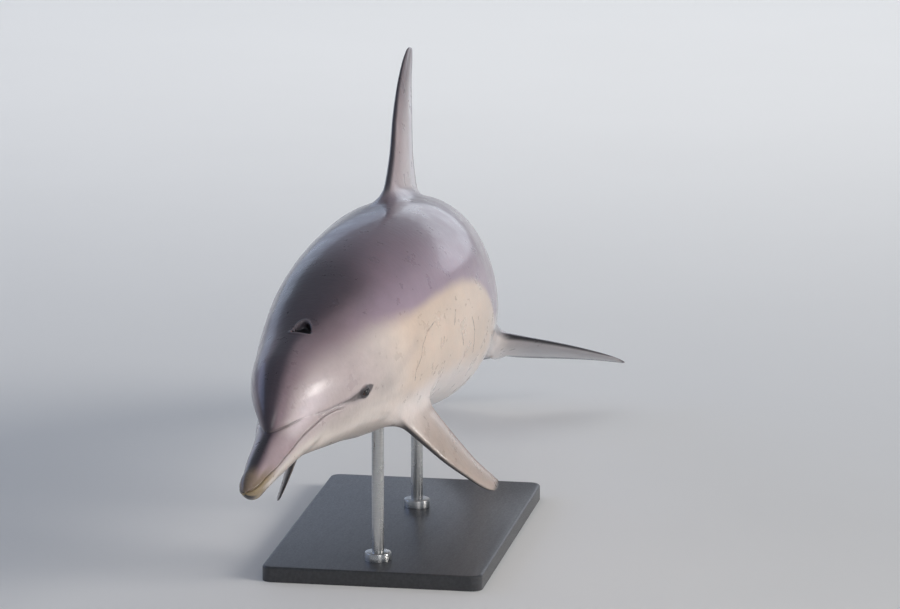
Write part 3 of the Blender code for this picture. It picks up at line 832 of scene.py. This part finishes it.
def markings(points):
    """The colour masks and distances that the skin's material reads, one value for each point."""
    station = points[:, 1] / PERCENT
    turn = np.abs(turn_of(points))
    f = features(points)
    fins = fin_shares(points, station)
    in_cape = smooth_table(CAPE_EDGE, 1, station) - turn
    band = smooth_table(BAND_EDGE, 1, station)
    past_belly = turn - smooth_table(BELLY_EDGE, 1, station)
    lips = fade_out(station, 1.6, 4.6) * fade_out(f["mouth"], 7 * MM, 15 * MM)
    lips = np.maximum(lips, 0.9 * fade_out(station, 1.0, 3.0))
    dorsal, chord, span = fins["dorsal"]
    found = {
        "cape": in_cape / smooth_table(CAPE_SOFTNESS, 1, station),
        "deep": smooth_step(in_cape, 4, 40) * (0.6 + 0.4 * smooth_step(station, 14, 17.5)),
        "back": smooth_step(station, 21.5, 26.5),
        "pale": (smooth_step(station, 16, 25) * smooth_step(turn, 12, 40)
                 * (1 - 0.6 * smooth_step(station, 44, 58))),
        "band": fade_out(turn, 0.45 * band, 1.6 * band) * (1 - 0.85 * smooth_step(station, 22, 32)),
        "tan": smooth_step(station, 15, 25) * fade_out(station, 45, 54) * fade_out(turn, 116, 132),
        "face": fade_out(station, 15, 23) * fade_out(turn, 84, 112),
        "jaw": fade_out(station, 17, 26),
        "flank": smooth_step(station, 47, 54) * fade_out(past_belly, -10, 8),
        "lips": lips,
        "lower_lip": lips * ~f["above_lips"],
        "chin": fade_out(station, 0.3, 1.1) * smooth_step(turn, 125, 145),
        "beak": f["above_lips"] * fade_out(station - 0.022 * turn, 5.6, 7.2),
        # Painted sheen: a paler patch on the side of the melon, above the crease.
        "cheek_sheen": bell(station - 10.0, 2.4) * bell(turn - 54, 17),
        # The flipper stripe, with painted shade round the eye and the neck fold.
        "stripe_and_shade": stripes_and_painted_shade(on_left(points), station, turn),
        "dorsal": dorsal,
        "dorsal_front": dorsal * fade_out(chord, 0.01, 0.06),
        "dorsal_edge": dorsal * smooth_step(chord, 0.95, 0.99),
        # The fin's rear is paler: partly a pale patch of the fin, partly painted sheen.
        "dorsal_pale_and_sheen": (dorsal * smooth_step(chord, 0.55, 0.8)
                        * (1 - 0.6 * smooth_step(span, 0.75, 0.98))),
        "dorsal_top": 0.8 * dorsal * smooth_step(span, 0.6, 0.98),
        "dorsal_root": (bell(points[:, 0], 5 * MM) * smooth_step(station, 35, 41)
                        * fade_out(station, 42, 45)),
    }
    for name in ("flipper", "fluke"):
        mask, chord, span = fins[name]
        found[name] = mask * (0.35 + 0.65 * smooth_step(span, 0.05, 0.4))
        found[name + "_front"] = mask * fade_out(chord, 0.005, 0.05 + 0.04 * span)
        found[name + "_tip"] = mask * smooth_step(span, 0.95, 1.0)
        found[name + "_rear"] = mask * smooth_step(chord, 0.8, 0.95)
    found["fluke_top"] = fins["fluke"][0] * (points[:, 2] > 0)
    share = f["stripe_share"]
    widening = 7.0 * smooth_step(share, 0.42, 0.98) - 2.4 * fade_out(share, 0.0, 0.3)
    for name, distance in (
            ("mouth", f["mouth"] / MM + 3 * smooth_step(f["mouth_share"], 0.95, 1)),
            ("crease", f["crease"] / MM + 1.75 * smooth_step(f["crease_share"], 0.55, 1.0)),
            ("stripe", f["stripe"] / MM - widening),
            ("eye", f["eye"] / MM),
            ("patch", f["eye_patch"] / MM),
            ("hole", f["blowhole"] / MM)):
        found[name + "_mm"] = np.minimum(distance, FAR_MM)
    found["back_mm"] = points[:, 1] / MM
    found["round_mm"] = turn_of(points) * SCRATCH_SCALE / MM
    return found


skin = make_skin()
straight = coordinates(skin.data)
for name, values in markings(straight).items():
    add_attribute(skin.data, name, values)
add_attribute(skin.data, "straight", straight)
set_coordinates(skin.data, posed(straight))
skin.data.shade_smooth()


# ---------------- node helpers
class Tree:
    """A material's node tree with short calls for the nodes that the looks need."""

    def __init__(self, name):
        self.material = bpy.data.materials.new(name)
        self.material.use_nodes = True
        self.tree = self.material.node_tree
        self.shader = self.tree.nodes["Principled BSDF"]

    def node(self, kind, *values, out=0, **settings):
        node = self.tree.nodes.new("ShaderNode" + kind)
        for key, value in settings.items():
            setattr(node, key, value)
        for slot, value in values:
            self.feed(node.inputs[slot], value)
        return node.outputs[out]

    def feed(self, socket, value):
        if isinstance(value, bpy.types.NodeSocket):
            self.tree.links.new(value, socket)
        else:
            socket.default_value = value

    def set(self, **values):
        for name, value in values.items():
            self.feed(self.shader.inputs[name.replace("_", " ")], value)

    def attribute(self, name, out="Fac"):
        return self.node("Attribute", attribute_name=name, out=out)

    def math(self, operation, a, b=0.0, c=0.0):
        return self.node("Math", (0, a), (1, b), (2, c), operation=operation)

    def times(self, a, b):
        return self.math("MULTIPLY", a, b)

    def plus(self, a, b):
        return self.math("ADD", a, b)

    def minus(self, a, b):
        return self.math("SUBTRACT", a, b)

    def step(self, value, low, high, start=0.0, end=1.0):
        """Smooth change of a value from start to end between low and high."""
        return self.node("MapRange", (0, value), (1, low), (2, high), (3, start), (4, end),
                         interpolation_type="SMOOTHSTEP")

    def mix(self, share, a, b, blend="MIX"):
        a, b = ((*v, 1.0) if isinstance(v, tuple) and len(v) == 3 else v for v in (a, b))
        return self.node("Mix", (0, share), (6, a), (7, b), data_type="RGBA", blend_type=blend, out=2)

    def layers(self, colour, layers):
        """Lay colours over a first one in turn; each layer is its mask, strength and colour."""
        for name, strength, over in layers:
            mask = self.attribute(name)
            colour = self.mix(mask if strength == 1 else self.times(mask, strength), colour, over)
        return colour

    def noise(self, where, scale, detail=4.0, roughness=0.55):
        return self.node("TexNoise", ("Vector", where), ("Scale", scale), ("Detail", detail),
                         ("Roughness", roughness))

    def stretched(self, where, stretch):
        return self.node("Mapping", (0, where), (3, stretch))

    def bump(self, height, depth, below=None):
        values = [("Height", height), ("Distance", depth), ("Strength", 1.0)]
        if below is not None:
            values.append(("Normal", below))
        return self.node("Bump", *values)


def segment_gap(t, u, v, start, end):
    """Distance in mm of (u, v) to a segment, built from nodes."""
    (a, b), (c, d) = start, end
    length = math.hypot(c - a, d - b)
    along = ((c - a) / length, (d - b) / length)
    du, dv = t.minus(u, a), t.minus(v, b)
    reach = t.plus(t.times(du, along[0]), t.times(dv, along[1]))
    beside = t.minus(t.times(dv, along[0]), t.times(du, along[1]))
    beyond = t.minus(reach, t.math("MINIMUM", t.math("MAXIMUM", reach, 0.0), length))
    return t.math("SQRT", t.plus(t.times(beside, beside), t.times(beyond, beyond)))


# ---------------- skin material
# The name in a layer is the mask from markings() that it lies on; the number is its strength.
BELLY_COLOUR = (0.70, 0.62, 0.58)
PALE_LAYERS = (
    ("tan", 1, (0.62, 0.495, 0.40)),
    ("jaw", 1, (0.61, 0.54, 0.49)),
    ("face", 1, (0.44, 0.367, 0.36)),
    ("beak", 1, (0.36, 0.275, 0.285)),
    # Painted sheen on the side of the melon.
    ("cheek_sheen", 0.8, (0.72, 0.63, 0.65)),
    ("flank", 1, (0.34, 0.31, 0.31)),
    # Flipper stripe, with painted shade on the side of the head.
    ("stripe_and_shade", 0.55, (0.30, 0.26, 0.25)),
)
CAPE_COLOUR = (0.235, 0.172, 0.19)
CAPE_PALE = (0.31, 0.235, 0.285)
BACK_COLOUR = (0.19, 0.135, 0.165)
DEEP_COLOUR = (0.074, 0.052, 0.062)
BAND_COLOUR = (0.060, 0.045, 0.057)
BEAK_BAND = (0.028, 0.020, 0.027)
LIP_COLOUR = (0.21, 0.155, 0.108)
DARK_COLOUR = (0.022, 0.019, 0.021)
LAST_LAYERS = (
    ("lower_lip", 0.9, (0.26, 0.190, 0.095)),
    ("chin", 1, DARK_COLOUR),
    ("dorsal", 1, (0.38, 0.31, 0.315)),
    ("dorsal_top", 1, (0.125, 0.105, 0.112)),
    # Rear of the dorsal fin: partly a pale patch, partly painted sheen.
    ("dorsal_pale_and_sheen", 0.85, (0.52, 0.50, 0.55)),
    ("dorsal_edge", 0.7, (0.10, 0.085, 0.095)),
    ("dorsal_front", 1, (0.05, 0.042, 0.05)),
    ("dorsal_root", 0.8, (0.06, 0.04, 0.045)),
    ("flipper", 1, (0.41, 0.335, 0.29)),
    ("flipper_rear", 0.5, (0.30, 0.25, 0.24)),
    ("flipper_front", 1, DARK_COLOUR),
    ("flipper_tip", 1, DARK_COLOUR),
    ("fluke", 1, (0.40, 0.37, 0.38)),
    ("fluke_top", 1, DEEP_COLOUR),
    ("fluke_front", 1, DARK_COLOUR),
    ("fluke_rear", 1, DARK_COLOUR),
    ("fluke_tip", 1, DARK_COLOUR),
)
SCRATCH_COLOUR = (0.13, 0.10, 0.09)
STREAK_COLOUR = (0.25, 0.21, 0.20)
SPECK_COLOUR = (0.16, 0.13, 0.13)
# Dark edge of the eye stripe, and painted shade in the crease and the lip groove.
LINE_AND_GROOVE_SHADE_COLOUR = (0.075, 0.06, 0.058)
STRIPE_COLOUR = (0.22, 0.195, 0.20)
PATCH_COLOUR = (0.040, 0.033, 0.036)
# Painted highlight on the blowhole's rim.
HOLE_RIM_HIGHLIGHT_COLOUR = (0.26, 0.23, 0.25)
# Painted shade inside the blowhole.
HOLE_SHADE_COLOUR = (0.004, 0.003, 0.004)


def scratch_mask(t, fine, cloud):
    """1 on the scratches, which wander and fade in places, and 0 beside them."""
    scratch = None
    u = t.plus(t.attribute("back_mm"), t.times(t.minus(fine, 0.5), 9.0))
    v = t.attribute("round_mm")
    for path in SCRATCHES:
        places = [(s * PERCENT / MM, a * SCRATCH_SCALE / MM) for s, a in path]
        for start, end in zip(places[:-1], places[1:]):
            gap = segment_gap(t, u, v, start, end)
            scratch = gap if scratch is None else t.math("MINIMUM", scratch, gap)
    return t.times(t.step(scratch, 0.4, SCRATCH_WIDTH, 1.0, 0.0), t.step(cloud, 0.40, 0.54, 0.45, 1.0))


def skin_material():
    t = Tree("dolphin_skin")
    at = t.attribute
    where = at("straight", out="Vector")
    broad = t.noise(where, 7.0, 3.0)
    cloud = t.noise(where, 26.0, 5.0, 0.6)
    fine = t.noise(where, 160.0, 4.0, 0.6)
    grain = t.noise(where, 900.0, 2.0)
    wander = t.plus(t.times(t.minus(cloud, 0.5), 0.9), t.times(t.minus(fine, 0.5), 0.5))
    colour = t.layers(BELLY_COLOUR, PALE_LAYERS)
    cape_colour = t.mix(at("pale"), CAPE_COLOUR, CAPE_PALE)
    cape_colour = t.mix(at("deep"), cape_colour, t.mix(at("back"), DEEP_COLOUR, BACK_COLOUR))
    colour = t.mix(t.step(t.plus(at("cape"), wander), -1.0, 1.0), colour, cape_colour)
    colour = t.mix(at("band"), colour, t.mix(at("beak"), BAND_COLOUR, BEAK_BAND))
    colour = t.mix(t.times(at("lips"), t.step(fine, 0.25, 0.6, 0.8, 1.0)), colour, LIP_COLOUR)
    colour = t.layers(colour, LAST_LAYERS)

    scratch = scratch_mask(t, fine, cloud)
    streak = t.noise(t.stretched(where, (1.0, 0.16, 0.5)), 260.0, 2.0)
    streak = t.times(t.step(streak, 0.72, 0.80), t.step(broad, 0.52, 0.66))
    speck = t.step(t.noise(where, 420.0, 1.0), 0.74, 0.80)
    colour = t.mix(scratch, colour, SCRATCH_COLOUR)
    colour = t.mix(t.times(streak, 0.28), colour, STREAK_COLOUR)
    colour = t.mix(t.times(speck, 0.5), colour, SPECK_COLOUR)

    # Painted shade: dark lines along the crease of the melon and the groove between the lips.
    crease = t.step(at("crease_mm"), 0.6, 3.6, 0.9, 0.0)
    mouth = t.step(at("mouth_mm"), 0.5, 2.2, 0.85, 0.0)
    stripe = t.plus(at("stripe_mm"), t.times(wander, 2.0))
    colour = t.mix(t.step(stripe, 0.0, 7.0, 0.6, 0.0), colour, STRIPE_COLOUR)
    stripe = t.step(stripe, -2.0, 2.0, 0.85, 0.0)
    # The eye stripe's dark edge is a marking; the crease and mouth lines are painted shade.
    line = t.math("MAXIMUM", t.math("MAXIMUM", crease, mouth), stripe)
    colour = t.mix(line, colour, LINE_AND_GROOVE_SHADE_COLOUR)
    patch = t.step(t.plus(at("patch_mm"), t.times(wander, 2.5)), -3.0, 1.5, 0.9, 0.0)
    colour = t.mix(patch, colour, PATCH_COLOUR)
    colour = t.mix(t.step(at("eye_mm"), 0.2, 2.2, 1.0, 0.0), colour, DARK_COLOUR)
    # Painted highlight: a paler ring on the blowhole's rim.
    rim = t.times(t.step(at("hole_mm"), -1.0, 1.0), t.step(at("hole_mm"), 2.0, 5.0, 1.0, 0.0))
    colour = t.mix(t.times(rim, 0.35), colour, HOLE_RIM_HIGHLIGHT_COLOUR)
    # Painted shade: the blowhole's inner wall is near black.
    colour = t.mix(t.step(at("hole_mm"), -0.7, 0.3, 1.0, 0.0), colour, HOLE_SHADE_COLOUR)

    mottle = t.plus(t.plus(t.times(cloud, 0.30), t.times(broad, 0.25)), t.times(fine, 0.12))
    shade = t.step(mottle, 0.20, 0.48, 0.86, 1.10)
    grey = t.node("CombineColor", (0, shade), (1, shade), (2, shade))
    colour = t.mix(1.0, colour, grey, "MULTIPLY")

    ripple = t.noise(t.stretched(where, (1.0, 2.6, 1.0)), 60.0, 3.0)
    normal = None
    for height, depth in ((ripple, 0.5), (fine, 0.25), (grain, 0.04), (t.times(scratch, -1.0), 0.6)):
        normal = t.bump(height, depth * MM, normal)
    t.set(Base_Color=colour, Roughness=t.step(cloud, 0.3, 0.7, 0.26, 0.40), Normal=normal,
          Subsurface_Weight=0.06, Subsurface_Scale=0.01, Subsurface_Radius=(1.0, 0.45, 0.3),
          Coat_Weight=0.55, Coat_IOR=1.36, Coat_Roughness=0.13)
    return t.material


skin.data.materials.append(skin_material())
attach(skin, "root")
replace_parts(skin, "upper_beak", "lower_jaw", "head", "chest", "midriff", "loin", "tail_stock", "dorsal_fin",
            "flipper_left", "flipper_right", "fluke_left", "fluke_right")


# ---------------- eyes
PUPIL_COLOUR = (0.003, 0.003, 0.004)
IRIS_COLOUR = (0.016, 0.010, 0.007)
FIBRE_COLOUR = (0.035, 0.022, 0.014)
WHITE_COLOUR = (0.018, 0.014, 0.014)
CORNEA_RISE = 0.0004
CORNEA_SPREAD = 0.5


def eye_material():
    """Pupil, iris and the dark white of the eye, by the angle off the eye's axis in radians."""
    t = Tree("dolphin_eye")
    out = t.attribute("off_axis")
    where = t.attribute("straight", out="Vector")
    fibre = t.noise(where, 900.0, 4.0)
    colour = t.mix(t.step(out, 0.34, 0.40), PUPIL_COLOUR, IRIS_COLOUR)
    colour = t.mix(t.times(t.step(out, 0.40, 0.60), t.step(fibre, 0.4, 0.6)), colour, FIBRE_COLOUR)
    colour = t.mix(t.step(out, 0.68, 0.78), colour, WHITE_COLOUR)
    t.set(Base_Color=colour, Roughness=t.step(fibre, 0.3, 0.7, 0.10, 0.16), Specular_IOR_Level=0.25,
          Coat_Weight=1.0, Coat_Roughness=0.02, Coat_IOR=1.38)
    return t.material


def make_eye(name, sign, material):
    """Eyeball turned outwards, with a slightly raised cornea."""
    centre = plain_skin(EYE_STATION, sign * EYE_ANGLE)
    normal = plain_normal(np.float64(EYE_STATION), np.float64(sign * EYE_ANGLE))
    middle = centre - normal * EYE_DEPTH
    bm = bmesh.new()
    bmesh.ops.create_uvsphere(bm, u_segments=64, v_segments=48, radius=1.0)
    turn = Vector((0, 0, 1)).rotation_difference(Vector(normal)).to_matrix()
    points, off_axis = [], []
    for vert in bm.verts:
        away = math.acos(max(-1.0, min(1.0, vert.co.z)))
        bulge = CORNEA_RISE * math.exp(-(away / CORNEA_SPREAD) ** 2)
        points.append(middle + np.array(turn @ vert.co) * (EYE_RADIUS - CORNEA_RISE + bulge))
        off_axis.append(away)
    faces = [[v.index for v in f.verts] for f in bm.faces]
    bm.free()
    points = np.array(points)
    eye = new_object(name, posed(points), faces)
    face_outwards(eye.data)
    add_attribute(eye.data, "off_axis", off_axis)
    add_attribute(eye.data, "straight", points)
    eye.data.shade_smooth()
    eye.data.materials.append(material)
    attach(eye, "root")
    return eye


eye_look = eye_material()
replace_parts(make_eye("eyeball_left", 1, eye_look), "eye_left")
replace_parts(make_eye("eyeball_right", -1, eye_look), "eye_right")


# ---------------- stand
BOARD_COLOURS = ((0.030, 0.031, 0.034), (0.042, 0.043, 0.047))
DUST_COLOUR = (0.16, 0.16, 0.16)
STEEL_COLOURS = ((0.50, 0.50, 0.49), (0.66, 0.66, 0.65))
BOARD_CORNER = 0.02
BOARD_EDGE = 0.004
ROD_EDGE = 0.001
COLLAR_EDGE = 0.0025
COLLAR_GAP = 0.0003


def turned(name, profile, centre, segments=64):
    """Solid of revolution about a vertical axis from a list of (radius, height)."""
    angle = np.linspace(0, 2 * math.pi, segments, endpoint=False)
    verts = [(centre[0] + r * math.cos(a), centre[1] + r * math.sin(a), z)
             for r, z in profile for a in angle]
    obj = new_object(name, verts, tube_faces(len(profile), segments))
    face_outwards(obj.data)
    obj.data.shade_smooth()
    obj.data.set_sharp_from_angle(angle=math.radians(35))
    return obj


def board_material():
    t = Tree("stand_lacquer")
    where = t.node("TexCoord", out="Object")
    grain = t.noise(t.stretched(where, (9.0, 1.0, 9.0)), 22.0, 5.0)
    dust = t.noise(where, 380.0, 3.0)
    colour = t.mix(t.step(grain, 0.35, 0.65), *BOARD_COLOURS)
    colour = t.mix(t.step(dust, 0.66, 0.80, 0.0, 0.25), colour, DUST_COLOUR)
    normal = t.bump(grain, 0.00012)
    normal = t.bump(dust, 0.00005, normal)
    t.set(Base_Color=colour, Roughness=t.step(dust, 0.3, 0.7, 0.34, 0.46), Normal=normal,
          Coat_Weight=0.25, Coat_Roughness=0.2)
    return t.material


def steel_material():
    t = Tree("stand_steel")
    where = t.node("TexCoord", out="Object")
    brush = t.noise(t.stretched(where, (1.0, 1.0, 60.0)), 34.0, 4.0)
    smear = t.noise(where, 30.0, 3.0)
    colour = t.mix(t.step(brush, 0.3, 0.7), *STEEL_COLOURS)
    t.set(Base_Color=colour, Metallic=1.0, Roughness=t.step(smear, 0.3, 0.7, 0.24, 0.36),
          Normal=t.bump(brush, 0.00006))
    return t.material


def make_base(material):
    low, high = (np.array(corner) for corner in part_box("stand_base"))
    bm = bmesh.new()
    bmesh.ops.create_cube(bm, size=1.0)
    for vert in bm.verts:
        vert.co = Vector((low + high) / 2 + np.array(vert.co) * (high - low))
    upright = [e for e in bm.edges if abs(e.verts[0].co.z - e.verts[1].co.z) > 1e-4]
    bmesh.ops.bevel(bm, geom=upright, offset=BOARD_CORNER, segments=12, profile=0.5, affect="EDGES")
    top = [e for e in bm.edges
           if min(v.co.z for v in e.verts) > high[2] - 1e-6 and e.calc_face_angle(0) > 0.5]
    bmesh.ops.bevel(bm, geom=top, offset=BOARD_EDGE, segments=5, profile=0.5, affect="EDGES")
    mesh = bpy.data.meshes.new("stand_board")
    bm.to_mesh(mesh)
    bm.free()
    obj = in_scene("stand_board", mesh)
    mesh.shade_smooth()
    mesh.set_sharp_from_angle(angle=math.radians(30))
    mesh.materials.append(material)
    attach(obj, "root")
    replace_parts(obj, "stand_base")


def make_rods(material):
    for place in ("front", "rear"):
        low, high = (np.array(corner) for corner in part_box(f"stand_rod_{place}"))
        centre, radius = (low + high) / 2, (high[0] - low[0]) / 2
        rod = turned(f"rod_{place}", [(radius, low[2]), (radius, high[2] - ROD_EDGE),
                                      (radius - ROD_EDGE, high[2])], centre)
        low, high = (np.array(corner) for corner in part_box(f"stand_collar_{place}"))
        outer = (high[0] - low[0]) / 2
        collar = turned(f"collar_{place}", [
            (outer, low[2]),
            (outer, high[2] - COLLAR_EDGE),
            (outer - 0.0007, high[2] - 0.0008),
            (outer - COLLAR_EDGE, high[2]),
            (radius + 0.0016, high[2]),
            (radius + COLLAR_GAP, high[2] - 0.0012),
            (radius + COLLAR_GAP, low[2]),
        ], centre)
        for piece, node in ((rod, f"stand_rod_{place}"), (collar, f"stand_collar_{place}")):
            piece.data.materials.append(material)
            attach(piece, "root")
            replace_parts(piece, node)


make_base(board_material())
make_rods(steel_material())


# ---------------- floor, light and camera
FLOOR_COLOURS = ((0.82, 0.81, 0.785), (0.86, 0.85, 0.825))
FLOOR_REACH = 40
WORLD_COLOUR = (0.78, 0.86, 1.0, 1)
WORLD_STRENGTH = 0.28
MIDDLE = (0.0, -0.3, 0.45)
HEAD = (-0.1, -0.75, 0.42)
FAR_LIGHT = 22


def floor_material():
    t = Tree("studio_floor")
    where = t.node("TexCoord", out="Object")
    t.set(Base_Color=t.mix(t.noise(where, 1.2, 3.0), *FLOOR_COLOURS), Roughness=0.75)
    return t.material


def area_light(name, place, aim, size, power, colour=(1.0, 1.0, 1.0), spread=180, glossy=True):
    """Elliptical light; spread is in degrees, and glossy says whether reflections show the light."""
    data = bpy.data.lights.new(name, "AREA")
    data.shape = "ELLIPSE"
    data.size, data.size_y = size
    data.energy = power
    data.color = colour
    data.spread = math.radians(spread)
    light = in_scene(name, data)
    light.location = place
    light.visible_glossy = glossy
    light.rotation_euler = (Vector(aim) - Vector(place)).to_track_quat("-Z", "Y").to_euler()


floor_corners = [(x * FLOOR_REACH, y * FLOOR_REACH, 0) for x, y in ((-1, -1), (1, -1), (1, 1), (-1, 1))]
floor = new_object("studio_floor", floor_corners, [[0, 1, 2, 3]])
floor.data.materials.append(floor_material())

world = bpy.data.worlds.new("studio")
bpy.context.scene.world = world
world.use_nodes = True
background = world.node_tree.nodes["Background"]
background.inputs["Color"].default_value = WORLD_COLOUR
background.inputs["Strength"].default_value = WORLD_STRENGTH

area_light("key", (10.1, -2.7, 4.5), MIDDLE, (5.2, 4.4), 101, (1.0, 0.97, 0.94), 62, False)
area_light("glint", (3.96, -0.36, 0.72), HEAD, (0.57, 1.30), 1.65, (1.0, 0.96, 0.92), 40)
area_light("horizon", (1.4, 9.0, 1.8), (0, 0, 0.7), (6.4, 2.4), 50, (0.88, 0.92, 1.0))
area_light("horizon_far", (-4.6, 8.4, 2.2), (0, 0, 0.7), (7.0, 3.4), 32, (0.64, 0.76, 1.0))
area_light("sky", (-7.2, 1.1, 3.0), (0, 0, 0.6), (9.6, 3.6), 36, (0.44, 0.58, 1.0), 120)
area_light("front", (3.5, -7.8, 2.4), MIDDLE, (4.2, 3.2), 13, (1.0, 0.98, 0.97), 80)
area_light("backdrop", (0.0, 4.8, 3.6), (0, 4.4, 0), (9.0, 4.0), 60, spread=110, glossy=False)
# The floor far from the part, which the lights above don't reach. The aim is a little off the
# straight way down, so that the light's turn about its own axis is settled.
for x, y in ((FAR_LIGHT, 0), (0, FAR_LIGHT), (-FAR_LIGHT, 0), (0, -FAR_LIGHT)):
    area_light("far_floor", (x, y, 4.0), (x * 0.999, y * 0.999, 0), (30.0, 30.0), 960,
               spread=110, glossy=False)

CAMERA_AZIMUTH = math.radians(9.9)
CAMERA_ELEVATION = math.radians(13.0)
CAMERA_DISTANCE = 12.0
CAMERA_LENS = 265.0
CAMERA_RIGHT = 0.0922
CAMERA_UP = 0.0109
towards = Vector((math.sin(CAMERA_AZIMUTH) * math.cos(CAMERA_ELEVATION),
                  -math.cos(CAMERA_AZIMUTH) * math.cos(CAMERA_ELEVATION), math.sin(CAMERA_ELEVATION)))
rightwards = Vector((math.cos(CAMERA_AZIMUTH), math.sin(CAMERA_AZIMUTH), 0))
upwards = towards.cross(rightwards)
camera_data = bpy.data.cameras.new("camera")
camera_data.lens = CAMERA_LENS
camera_data.sensor_width = 36
camera_data.clip_end = 200
camera = in_scene("camera", camera_data)
aim = Vector((0, MID_OFFSET, MID_HEIGHT)) + rightwards * CAMERA_RIGHT + upwards * CAMERA_UP
camera.location = aim + towards * CAMERA_DISTANCE
camera.rotation_euler = (-towards).to_track_quat("-Z", "Y").to_euler()
bpy.context.scene.camera = camera
bpy.context.scene.view_settings.view_transform = "Standard"
